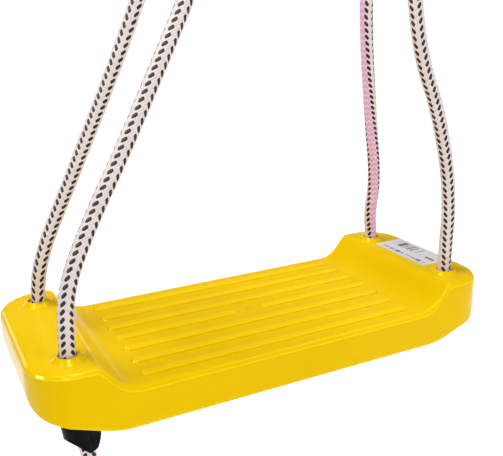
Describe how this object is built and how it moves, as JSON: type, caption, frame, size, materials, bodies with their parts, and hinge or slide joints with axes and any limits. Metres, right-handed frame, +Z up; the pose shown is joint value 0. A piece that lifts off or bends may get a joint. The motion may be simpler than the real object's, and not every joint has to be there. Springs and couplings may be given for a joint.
{
  "type": "board swing",
  "caption": "Child's board swing: a moulded plastic seat with grip ribs and raised ends, hung from looped braided ropes on steel rings.",
  "frame": {"origin": "on the swing axis, through the straight bars of the two rings, over the middle of the seat", "axes": "+X along the seat's length, towards the labelled end; +Y to the seat's back; +Z up"},
  "size_m": [0.3964, 0.165, 0.5065],
  "materials": {
    "yellow_plastic": "satin-gloss blow-moulded polyethylene, faint mould texture and parting line",
    "label": null,
    "rope": "braided polypropylene, off-white with dark red-brown flecks",
    "right_rope": "braided polypropylene, off-white with a pink tracer and dark flecks",
    "black_nylon": "glossy black moulded nylon",
    "zinc_steel": "bright zinc-plated round wire",
    "clear_sleeve": "black heat-shrunk sleeve"
  },
  "bodies": {
    "hangers": {"left_ring": "zinc_steel", "right_ring": "zinc_steel"},
    "swing": {"seat_shell": "yellow_plastic", "label": "label", "left_rope": "rope", "left_thimble": "black_nylon", "left_lock_body": "black_nylon", "left_lock_cap": "black_nylon", "left_knot": "rope", "left_knot_end_cap": "clear_sleeve", "left_lock_end_cap": "clear_sleeve", "right_rope": "right_rope", "right_thimble": "black_nylon", "right_lock_body": "black_nylon", "right_lock_cap": "black_nylon", "right_knot": "right_rope", "right_knot_end_cap": "clear_sleeve", "right_lock_end_cap": "clear_sleeve"}
  },
  "joints": [
    {"name": "swing", "type": "hinge", "parent": "hangers", "child": "swing", "pos_m": [0, 0, 0], "axis": [1, 0, 0], "range_deg": [-60, 60]}
  ]
}
